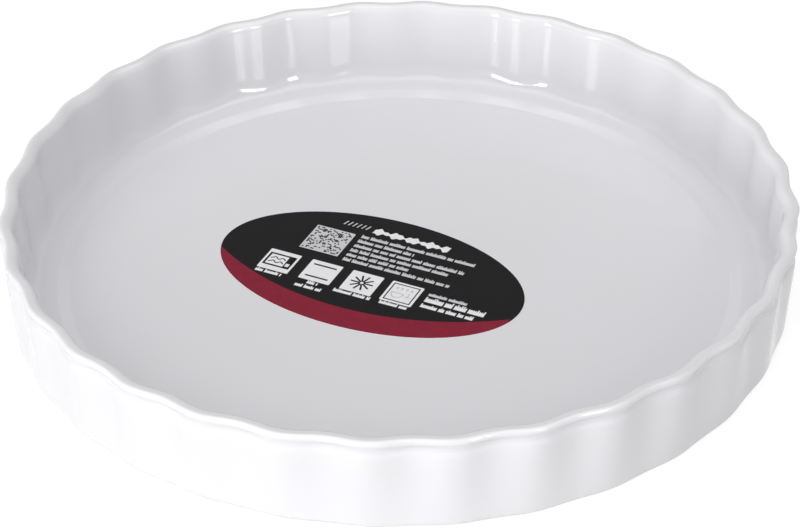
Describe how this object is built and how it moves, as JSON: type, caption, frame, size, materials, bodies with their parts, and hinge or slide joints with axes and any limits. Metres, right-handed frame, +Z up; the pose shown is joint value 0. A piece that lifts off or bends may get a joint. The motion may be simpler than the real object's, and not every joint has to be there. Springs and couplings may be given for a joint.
{
  "type": "tart dish",
  "caption": "Round, shallow ceramic baking dish with a low fluted wall, a rounded rim, a ring foot and an oval paper label stuck on its floor.",
  "frame": {"origin": "centre of the ring foot, on the table", "axes": "+Z up along the dish's axis; +X through a lobe of the fluted wall"},
  "size_m": [0.2986, 0.2986, 0.038],
  "materials": {
    "glazed_ceramic": "white glaze, glossy, fired on; bare biscuit on the foot's face",
    "label_paper": "coated paper label printed near-black with a dark red field, satin"
  },
  "bodies": {
    "root": {"dish": "glazed_ceramic", "label": "label_paper"}
  },
  "joints": []
}
